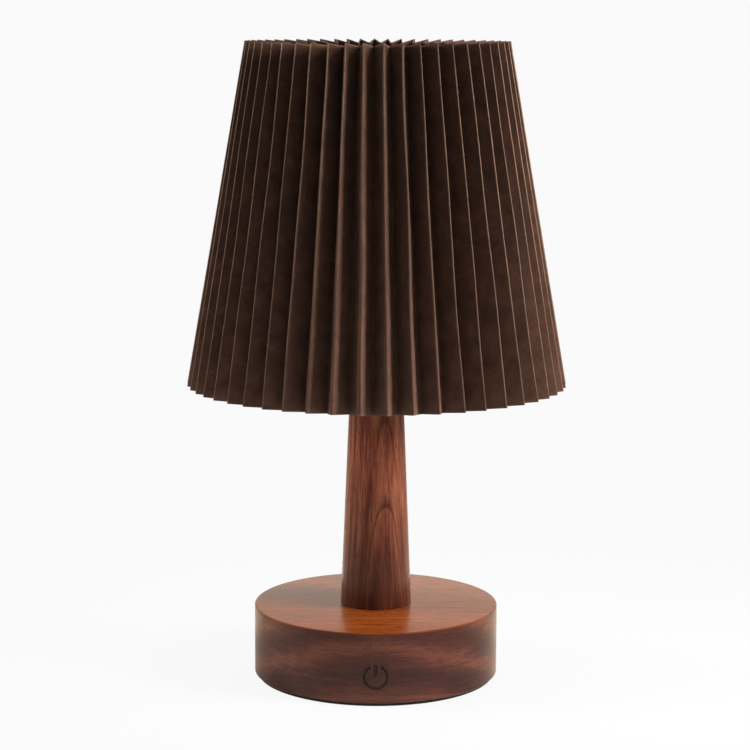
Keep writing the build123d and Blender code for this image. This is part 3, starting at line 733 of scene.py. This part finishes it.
def fold_azimuth(fold):
    """Azimuth of a fold from the front; the front pleats are drawn a little wider."""
    even = first_fold + math.tau / pleats * fold
    return even + front_opening * (math.sin(even) + math.sin(3 * even) / 6)


def bend_recess(level, softness):
    """How far a rounded fold falls short of the sharp one."""
    half_angle = math.asin(half_pitch(level) / flank)
    return softness * math.tan(half_angle) * (1 / math.sin(half_angle) - 1)


side_softness = 0.80
front_softness = 2.6
inner_softness = 1.4
rows = 22

# %% Pleated shade: an open cylinder with its corners on the folds
bpy.ops.mesh.primitive_cylinder_add(
    vertices=2 * pleats,
    radius=ridge_radius(shade_bottom) * mm,
    depth=shade_height * mm,
    location=(0, 0, (shade_top + shade_bottom) / 2 * mm),
    end_fill_type="NOTHING",
)
pleated_shade = bpy.context.active_object
pleated_shade.name = pleated_shade.data.name = "pleated_shade_folded"
settle(pleated_shade)
bpy.ops.object.mode_set(mode="EDIT")
bpy.ops.mesh.select_mode(type="EDGE")
bpy.ops.mesh.select_all(action="DESELECT")
shape = bmesh.from_edit_mesh(pleated_shade.data)
for edge in shape.edges:
    edge.select = abs(edge.verts[0].co.z - edge.verts[1].co.z) > 0.01
bmesh.update_edit_mesh(pleated_shade.data)
bpy.ops.mesh.subdivide(number_cuts=rows - 1)
bpy.ops.mesh.select_mode(type="VERT")
bpy.ops.object.mode_set(mode="OBJECT")

folds = 2 * pleats
weights = pleated_shade.data.attributes.new("bevel_weight_edge", "FLOAT", "EDGE")
fold_of = []
for vertex in pleated_shade.data.vertices:
    fold_of.append(round(math.atan2(vertex.co.x, -vertex.co.y) / math.tau * folds) % folds)


def fold_softness(fold):
    """How far the bend reaches along the flank: outer folds are softer in front than at the sides."""
    if fold % 2:
        return inner_softness
    front = max(0.0, math.cos(fold_azimuth(fold / 2)))
    return side_softness + (front_softness - side_softness) * front**front_power


for edge in pleated_shade.data.edges:
    first, second = (fold_of[v] for v in edge.vertices)
    weights.data[edge.index].value = fold_softness(first) / bend_width if first == second else 0.0

for vertex, fold in zip(pleated_shade.data.vertices, fold_of):
    level = vertex.co.z / mm
    fallen = (shade_top - level) / shade_height
    recess = bend_recess(level, fold_softness(fold))
    radius = ridge_radius(level)
    wander = noise.noise(Vector((fold * 7.31, level / 55, 3.7)))
    swell = noise.noise(Vector((fold * 3.17, level / 70, 9.1)))
    if fold % 2:
        radius -= pleat_depth(level) - 0.4 * recess - 0.5 * swell
    else:
        radius += recess - 0.25 * abs(swell)
    azimuth = fold_azimuth(fold / 2)
    lean = left_lean * fallen * min(0.0, math.sin(azimuth)) ** 2
    twist = 0.55 * fallen - 0.65
    azimuth += (0.9 * wander + twist + lean) / radius
    square_cut = rim_tilt * (radius - ridge_radius(level))
    place = Vector((radius * math.sin(azimuth), -radius * math.cos(azimuth), level + square_cut))
    vertex.co = place * mm

# %% Pleated shade: rounded folds and thickness
select_only(pleated_shade)
bend = pleated_shade.modifiers.new("bend_folds", "BEVEL")
bend.width = bend_width * mm
bend.segments = 5
bend.limit_method = "WEIGHT"
bend.use_clamp_overlap = False
bend.loop_slide = True
bpy.ops.object.modifier_apply(modifier=bend.name)
print("sheet area:", round(sum(p.area for p in pleated_shade.data.polygons), 4))
sheet = pleated_shade.modifiers.new("thickness", "SOLIDIFY")
sheet.thickness = sheet_thickness * mm
sheet.offset = -1.0
sheet.use_even_offset = False
sheet.material_offset_rim = 1
bpy.ops.object.modifier_apply(modifier=sheet.name)
masks = ("fold", "rim_distance", "sharp_fold")
fold_mask, edge_mask, sharp_mask = (
    pleated_shade.data.attributes.new(mask, "FLOAT", "POINT") for mask in masks
)
for vertex in pleated_shade.data.vertices:
    x, y, z = (v / mm for v in vertex.co)
    radius = math.hypot(x, y)
    level = z - rim_tilt * (radius - ridge_radius(z))
    inward = (ridge_radius(level) - radius) / pleat_depth(level)
    fold_mask.data[vertex.index].value = 1.0 - max(0.0, min(1.0, inward))
    edge_mask.data[vertex.index].value = min(level - shade_bottom, shade_top - level)
    # sharp_fold is 1 at the sides, where the crests take a painted highlight, and 0 in front.
    sharp_mask.data[vertex.index].value = 1.0 - max(0.0, -y / radius) ** front_power
smooth(pleated_shade, 50)

# %% [markdown]
# Suede paper is a paper whose face is raised to a short nap. It takes hardly any shine, is mottled
# where the nap lies one way or the other and rubs lighter along the outer folds. Its tone is painted
# from darker at the top to lighter at the lower rim, a painted light from the floor, and the sharp
# folds at the sides carry a painted highlight on top of their rubbed colour. The colour and nap come
# from noise on the sheet's own place, and the rubbed folds follow the attributes that the cell above
# stored on each point. Near the lower rim the soft folds at the front are painted darker instead, a
# painted shade on their lit crests.

# %% Suede paper
nap, given, out = new_group("suede_nap", {"Vector": (0.0, 0.0, 0.0)}, ("Mottle", "Speckle", "Height"))
mottle = noise_value(nap, given["Vector"], 110.0, 4.0, 0.6, 0.4)
speckle = noise_value(nap, given["Vector"], 1300.0, 3.0, 0.65)
raised = calculate(nap, "ADD", times(nap, speckle, 0.7), times(nap, mottle, 0.5))
set_inputs(out, {"Mottle": mottle, "Speckle": speckle, "Height": raised})
ramp_middle = 0.229
ramp_height = 0.166


def suede(name, tones, rubbed=None, side_crest_highlight=None):
    """Suede paper. Folds are rubbed; the sharp ones at the sides take a painted highlight as well and the
    soft ones a painted shade near the lower rim; the cut edge has none of these.
    """
    finish, tree, surface = begin_finish(name)
    place = shade_node(tree, "ShaderNodeTexCoord").outputs["Object"]
    cover = shade_node(tree, "ShaderNodeGroup", {"Vector": place}, node_tree=nap).outputs
    tone = scaled(tree, cover["Speckle"], 0.40, times(tree, cover["Mottle"], 0.75))
    # Painted light: the tone rises towards the lower rim and falls towards the top, standing in for light
    # from the floor.
    lower_rim_ramp = scaled(tree, z_part(tree, place), -1 / ramp_height, ramp_middle / ramp_height)
    tone = scaled(tree, lower_rim_ramp, 0.24, tone)
    colour = colour_steps(tree, tone, *zip((0.35, 0.58, 0.80), tones))
    if rubbed:
        fold, rim, sharp = (
            shade_node(tree, "ShaderNodeAttribute", attribute_name=mask).outputs["Fac"] for mask in masks
        )
        crest = scaled(tree, fold, 48.0, -47.0, clamp=True)
        patchy = scaled(tree, cover["Speckle"], 3.2, -1.0, clamp=True)
        patchy = scaled(tree, sharp, 0.5, patchy, clamp=True)
        patchy = times(tree, patchy, scaled(tree, lower_rim_ramp, -0.9, 0.72, clamp=True))
        # The side crests' colour is rubbed wear plus a painted highlight.
        crest_wear_and_highlight = blend_colours(tree, sharp, (*rubbed, 1.0), (*side_crest_highlight, 1.0))
        colour = blend_colours(tree, times(tree, crest, patchy), colour, crest_wear_and_highlight)
        # Painted shade: the soft crests at the front are darkened near the lower rim.
        soft_crest = times(tree, crest, calculate(tree, "SUBTRACT", 1.0, sharp))
        crest_shade = times(tree, soft_crest, scaled(tree, lower_rim_ramp, 0.90, 0.38, clamp=True))
        colour = blend_colours(tree, crest_shade, colour, (*tones[0], 1.0))
        edge = scaled(tree, rim, -2.2, 1.7, clamp=True)
        colour = blend_colours(tree, times(tree, edge, 0.8), colour, (*rubbed, 1.0))
    relief = {"Height": cover["Height"], "Strength": 0.35, "Distance": 0.00025}
    brushed = {
        "Base Color": colour,
        "Roughness": scaled(tree, cover["Speckle"], 0.12, 0.76),
        "IOR": 1.30,
        "Sheen Weight": 0.10,
        "Sheen Roughness": 0.45,
        "Sheen Tint": (*paint(190, 160, 140), 1.0),
        "Normal": shade_node(tree, "ShaderNodeBump", relief).outputs[0],
    }
    set_inputs(surface, brushed)
    return finish


suede_tones = (paint(60, 41, 34), paint(77, 53, 43), paint(94, 67, 55))
# The lighter second colour is the side crests' rubbed wear plus a painted highlight.
suede_paper = suede("suede_paper", suede_tones, paint(97, 76, 61), paint(166, 135, 112))
cut_tones = (paint(112, 82, 62), paint(138, 104, 80), paint(158, 122, 96))
suede_cut_edge = suede("suede_cut_edge", cut_tones)
fit(pleated_shade, "shade", "pleated_suede", "pleated_shade", suede_paper, suede_cut_edge)

# %% [markdown]
# The rest of the lamp is metal, rubber and plastic. These finishes share one effect: no surface is
# one even colour or one even gloss. The group gives a slow change, a fine grain and thin scratches,
# and each finish sets how much of them it shows.

# %% Handled surfaces
handled, given, out = new_group(
    "handled_surface", {"Vector": (0.0, 0.0, 0.0), "Grain Size": 0.0006}, ("Cloud", "Grain", "Scratch")
)
cloud_size = 0.012
cloud = noise_value(handled, given["Vector"], 1 / cloud_size, 3.0)
fine = noise_value(handled, given["Vector"], calculate(handled, "DIVIDE", 1.0, given["Grain Size"]), 2.0)
drawn = calculate_vector(handled, "MULTIPLY", given["Vector"], (60.0, 900.0, 900.0))
scratch = calculate(handled, "SUBTRACT", noise_value(handled, drawn, 1.0, 1.0), 0.64)
scratch = times(handled, scratch, 8.0, clamp=True)
set_inputs(out, {"Cloud": cloud, "Grain": fine, "Scratch": scratch})


def plain_finish(name, colour, roughness, uneven=0.12, grain=0.0006, bump=0.05, scratches=0.0, **more):
    """A moulded, painted or metal surface whose tone, gloss and relief vary a little."""
    finish, tree, surface = begin_finish(name)
    wear = {"Vector": shade_node(tree, "ShaderNodeTexCoord").outputs["Object"], "Grain Size": grain}
    wear = shade_node(tree, "ShaderNodeGroup", wear, node_tree=handled).outputs
    darker = tuple(v * (1 - uneven) for v in colour)
    lighter = tuple(min(1.0, v * (1 + uneven)) for v in colour)
    tinted = colour_steps(tree, wear["Cloud"], (0.30, darker), (0.70, lighter))
    if scratches:
        mark = times(tree, wear["Scratch"], scratches)
        tinted = blend_colours(tree, mark, tinted, (*[min(1.0, v * 1.5 + 0.03) for v in colour], 1.0))
    gloss = scaled(tree, wear["Grain"], 0.16, roughness - 0.08)
    relief = {"Height": wear["Grain"], "Strength": bump, "Distance": grain / 4}
    relief = shade_node(tree, "ShaderNodeBump", relief).outputs[0]
    set_inputs(surface, {"Base Color": tinted, "Roughness": gloss, "Normal": relief, **more})
    return finish


mouldings = {
    "foot_rubber": ((15, 14, 14), 0.80, {"bump": 0.3, "grain": 0.0009}),
    "black_steel": ((30, 30, 31), 0.48, {"uneven": 0.15, "bump": 0.25, "grain": 0.0008, "scratches": 0.2}),
    "tray_plastic": ((40, 42, 44), 0.55, {"bump": 0.15}),
    "cell_sleeve": ((38, 92, 126), 0.30, {}),
    "circuit_board": ((24, 84, 54), 0.38, {"bump": 0.1}),
    "bezel_plastic": ((28, 27, 27), 0.46, {"bump": 0.2}),
    "contact_foam": ((58, 58, 60), 0.95, {"bump": 0.8, "grain": 0.0012}),
    "lead_sleeve": ((214, 210, 200), 0.50, {}),
    "holder_metal": ((34, 32, 31), 0.42, {"uneven": 0.10, "bump": 0.12, "grain": 0.0005}),
    "ring_plastic": ((36, 34, 33), 0.50, {"bump": 0.2}),
    "led_board_white": ((226, 227, 224), 0.42, {}),
    "led_phosphor": ((232, 200, 96), 0.40, {}),
    "washer_rubber": ((52, 50, 49), 0.75, {"bump": 0.2}),
    "frame_wire": ((44, 42, 41), 0.38, {"uneven": 0.1, "bump": 0.1, "scratches": 0.15}),
    "clear_plastic": ((235, 238, 238), 0.16, {"uneven": 0.02, "Transmission Weight": 0.8, "IOR": 1.49}),
    "opal_plastic": (
        (232, 229, 221),
        0.34,
        {"uneven": 0.02, "bump": 0.03, "Subsurface Weight": 0.25, "Subsurface Scale": 0.004},
    ),
}
bare_metals = {
    "zinc_screws": ((186, 188, 190), 0.32, 0.3),
    "ballast_steel": ((150, 152, 154), 0.42, 0.5),
    "nickel_strip": ((196, 192, 182), 0.28, 0.4),
    "port_shell": ((172, 174, 176), 0.30, 0.4),
    "copper_foil": ((196, 120, 82), 0.34, 0.3),
    "threaded_steel": ((168, 170, 170), 0.36, 0.5),
    "sink_aluminium": ((190, 192, 194), 0.38, 0.4),
}
finishes = {"stem_walnut": stem_walnut, "base_walnut": base_walnut, "pleated_suede": suede_paper}
for name, (colour, roughness, more) in mouldings.items():
    finishes[name] = plain_finish(name, paint(*colour), roughness, **more)
for name, (colour, roughness, scratches) in bare_metals.items():
    finishes[name] = plain_finish(name, paint(*colour), roughness, scratches=scratches, Metallic=1.0)


def fit_plain(piece, body, slot, node):
    """Fits a piece whose finish has its slot's name."""
    fit(piece, body, slot, node, finishes[slot])


# %% [markdown]
# Under the shade sits the lamp's head. The holder is a metal bell turned from bar, blackened, and its
# outline is spun like the wood. The collar above it carries a coarse thread for the shade's ring nut:
# the collar is turned with many rows, and a formula then moves each row in and out along a helix, so
# that the groove really climbs round it.

# %% Lamp holder
neck_radius = 10.8
bell_radius = 19.8
bell_height = 12.0
flange_radius = 24.0
flange_bottom = 203.0
holder_rim = 206.0
cup_inner = 17.8
cup_socket = 19.1
collar_seat = 202.0
holder_outline = [(pipe_hole_radius, stem_top), (neck_radius, stem_top)]
for step in range(1, 13):
    turn = math.radians(90 * step / 12)
    radius = neck_radius + (bell_radius - neck_radius) * math.sin(turn)
    holder_outline.append((radius, stem_top + bell_height * (1 - math.cos(turn))))
holder_outline += [
    (bell_radius, 200.4),
    (bell_radius - 0.3, 200.7),
    (bell_radius, 201.0),
    (bell_radius, flange_bottom),
    (flange_radius, flange_bottom),
    (flange_radius, holder_rim),
    (cup_socket, holder_rim),
    (cup_socket, collar_seat),
    (cup_inner, collar_seat),
    (cup_inner, 196.0),
    (15.2, 196.0),
    (15.2, 192.0),
    (9.8, stem_top + 3.0),
    (pipe_hole_radius, stem_top + 3.0),
]
lamp_holder = turn_on_lathe("lamp_holder_turned", holder_outline, 96, rounding=0.25, rounding_steps=2)
fit_plain(lamp_holder, "lamp", "holder_metal", "lamp_holder")

# %% Threaded collar
collar_top = 218.0
collar_radius = 19.8
thread_pitch = 3.0
thread_depth = 0.9
thread_rows = 60
collar_outline = [(cup_inner, collar_seat), (18.9, collar_seat), (18.9, holder_rim)]
for row in range(thread_rows + 1):
    collar_outline.append((collar_radius, holder_rim + (collar_top - holder_rim) * row / thread_rows))
collar_outline += [(19.3, collar_top), (cup_inner, collar_top)]
holder_collar = turn_on_lathe("holder_collar_threaded", collar_outline, 96)
for vertex in holder_collar.data.vertices:
    x, y, z = (v / mm for v in vertex.co)
    if math.hypot(x, y) > collar_radius - 0.05:
        turns = (z - holder_rim) / thread_pitch - math.atan2(y, x) / math.tau
        groove = max(0.0, min(1.0, 0.5 + 0.95 * math.sin(math.tau * turns)))
        run_out = max(0.0, min(1.0, (z - holder_rim) / 1.2, (collar_top - z) / 0.8))
        shrink = 1.0 - thread_depth * groove * run_out / collar_radius
        vertex.co.x *= shrink
        vertex.co.y *= shrink
smooth(holder_collar, 50)
fit_plain(holder_collar, "lamp", "holder_metal", "holder_collar")

# %% [markdown]
# The diffuser is a blown opal shell with an even wall: a short spigot below, a straight part and a
# half round on top. The washer is soft rubber, so its edges are well rounded.


# %% Diffuser and seat washer
def flat_ring(inner, outer, low, high):
    """The square outline of a flat ring between two radii and two levels."""
    return [(inner, low), (outer, low), (outer, high), (inner, high)]


dome_start = 242.0
dome_radius = 19.4
shell = 1.8
dome_inner = dome_radius - shell
diffuser_outline = [
    (15.8, 213.0),
    (17.6, 213.0),
    (17.6, collar_top),
    (dome_radius, collar_top),
    *arc(0, dome_start, dome_radius, 0, 90, 32),
    *arc(0, dome_start, dome_inner, 90, 0, 32),
    (dome_inner, collar_top + shell),
    (15.8, collar_top),
]
diffuser = turn_on_lathe("diffuser_blown", diffuser_outline, 96)
fit_plain(diffuser, "lamp", "opal_plastic", "diffuser")
washer_outline = flat_ring(20.4, flange_radius, 206.1, 207.3)
seat_washer = turn_on_lathe("seat_washer_cut", washer_outline, 96, rounding=0.3)
fit_plain(seat_washer, "washer", "washer_rubber", "seat_washer")

# %% [markdown]
# The shade hangs on a wire frame: a flat fitter ring, three round arms that bend up to the top hoop, and
# a loose hoop inside the lower rim. An arm is a circle that is extruded straight out, spun round the
# middle of the bend and extruded on to the hoop, as a wire is bent over a mandrel. A Boolean modifier
# welds the parts into one body.


# %% Shade frame and bottom hoop
def wire_hoop(name, node, wire_radius, level):
    """A round wire closed to a hoop, as large as the CAD node's box says."""
    hoop_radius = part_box(node)[1][0] / mm - wire_radius
    print(f"{name}: radius {hoop_radius:.2f} mm")
    section = arc(hoop_radius, level, wire_radius, 0, 360, 16)[:-1]
    return turn_on_lathe(name, section, 144), hoop_radius


fitter_level = 207.4
arm_radius = 1.6
arm_level = fitter_level + 1.0
arm_start = 25.9
arm_reach = 41.0
arm_bend = 10.0
wire_radius = 1.5
top_hoop_level = shade_top - 8.5
shade_frame, hoop_radius = wire_hoop("shade_frame_wire", "shade_frame", wire_radius, top_hoop_level)
rise = math.atan2(top_hoop_level - arm_level, hoop_radius - arm_reach)
bend_start = arm_reach - arm_bend * math.tan(rise / 2)
bend_end = Vector((arm_reach + math.cos(rise) * (arm_reach - bend_start), 0, arm_level))
bend_end.z += math.sin(rise) * (arm_reach - bend_start)
first_run = Vector((bend_start - arm_start, 0, 0))
last_run = Vector((hoop_radius, 0, top_hoop_level)) - bend_end
for number in range(3):
    bpy.ops.mesh.primitive_circle_add(
        vertices=16,
        radius=arm_radius * mm,
        fill_type="NGON",
        location=(arm_start * mm, 0, arm_level * mm),
        rotation=(0, math.radians(90), 0),
    )
    arm = bpy.context.active_object
    settle(arm)
    edit_all()
    bpy.ops.mesh.extrude_region_move(TRANSFORM_OT_translate={"value": first_run * mm})
    bpy.ops.mesh.spin(
        steps=12, angle=rise, center=(bend_start * mm, 0, (arm_level + arm_bend) * mm), axis=(0, 1, 0)
    )
    bpy.ops.mesh.extrude_region_move(TRANSFORM_OT_translate={"value": last_run * mm})
    turn_faces_outwards()
    arm.rotation_euler.z = math.radians(90 + 120 * number)
    settle(arm)
    combine(shade_frame, arm, "UNION")
fitter_outline = flat_ring(20.8, 27.5, fitter_level, fitter_level + 2.0)
fitter_ring = turn_on_lathe("fitter_ring", fitter_outline, 96, rounding=0.4, rounding_steps=2)
combine(shade_frame, fitter_ring, "UNION")
smooth(shade_frame, 35)
fit_plain(shade_frame, "shade", "frame_wire", "shade_frame")
bottom_hoop, _ = wire_hoop("bottom_hoop_wire", "bottom_hoop", wire_radius, shade_bottom + 5.0)
smooth(bottom_hoop, 35)
fit_plain(bottom_hoop, "shade", "frame_wire", "bottom_hoop")

# %% [markdown]
# Four countersunk screws hold the cover plate. One screw is turned and its cross recess is cut with a
# tapered cross, and three copies go to the other corners, each with its own mesh.

# %% Cover screws
screw_outline = [(0, 1.8), (2.6, 1.8), (2.8, 1.95), (1.5, 3.25), (1.5, 9.3), (0, 10.8)]
screw = turn_on_lathe("cover_screws_turned", screw_outline, 24)
for turn in (0, 90):
    wing = block((-1.7, -0.42, 1.5), (1.7, 0.42, 3.1))
    for vertex in wing.data.vertices:
        if vertex.co.z > 0.002:
            vertex.co.x *= 0.55
            vertex.co.y *= 0.55
    wing.rotation_euler.z = math.radians(turn)
    settle(wing)
    combine(screw, wing)
smooth(screw, 30)
screws = [screw]
for quarter, place in enumerate(screw_places):
    piece = screw if quarter == 3 else screw.copy()
    if quarter < 3:
        piece.data = screw.data.copy()
        bpy.context.collection.objects.link(piece)
        screws.append(piece)
    piece.location = Vector((*place, 0)) * mm
    piece.rotation_euler.z = 0.7 * quarter
    settle(piece)
cover_screws = join(screws)
fit_plain(cover_screws, "lamp", "zinc_screws", "cover_screws")

# %% [markdown]
# Moulded and pressed parts only lack the small round that a mould or a press leaves on each edge. Each
# is copied from its CAD node, its triangles are merged into whole faces and its sharp edges rounded.


# %% Moulded and pressed parts
def softened(name, node, body, slot, width):
    """Fits a copy of a CAD node with rounded edges."""
    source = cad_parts[node]
    piece = bpy.data.objects.new(name, source.data.copy())
    bpy.context.collection.objects.link(piece)
    piece.data.name = name
    select_only(piece)
    edit_all()
    bpy.ops.mesh.remove_doubles(threshold=2e-6)
    bpy.ops.mesh.dissolve_limited(angle_limit=math.radians(0.6))
    bpy.ops.object.mode_set(mode="OBJECT")
    round_edges(piece, width, steps=2, angle=40.0)
    smooth(piece, 35)
    fit_plain(piece, body, slot, node)


softened("foot_pad_moulded", "foot_pad", "lamp", "foot_rubber", 0.25)
softened("base_cover_pressed", "base_cover", "lamp", "black_steel", 0.2)
softened("usb_bezel_moulded", "usb_bezel", "lamp", "bezel_plastic", 0.3)
softened("usb_c_port_drawn", "usb_c_port", "lamp", "port_shell", 0.08)
softened("charge_light_pipe_moulded", "charge_light_pipe", "lamp", "clear_plastic", 0.15)
softened("shade_ring_nut_moulded", "shade_ring_nut", "ring_nut", "ring_plastic", 0.2)

# %% [markdown]
# The other CAD nodes have the right shape and only take a finish, which their material slots name.

# %% Finishes for the CAD nodes
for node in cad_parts.values():
    for place in node.material_slots:
        place.material = finishes[place.material.name.split(".")[0]]
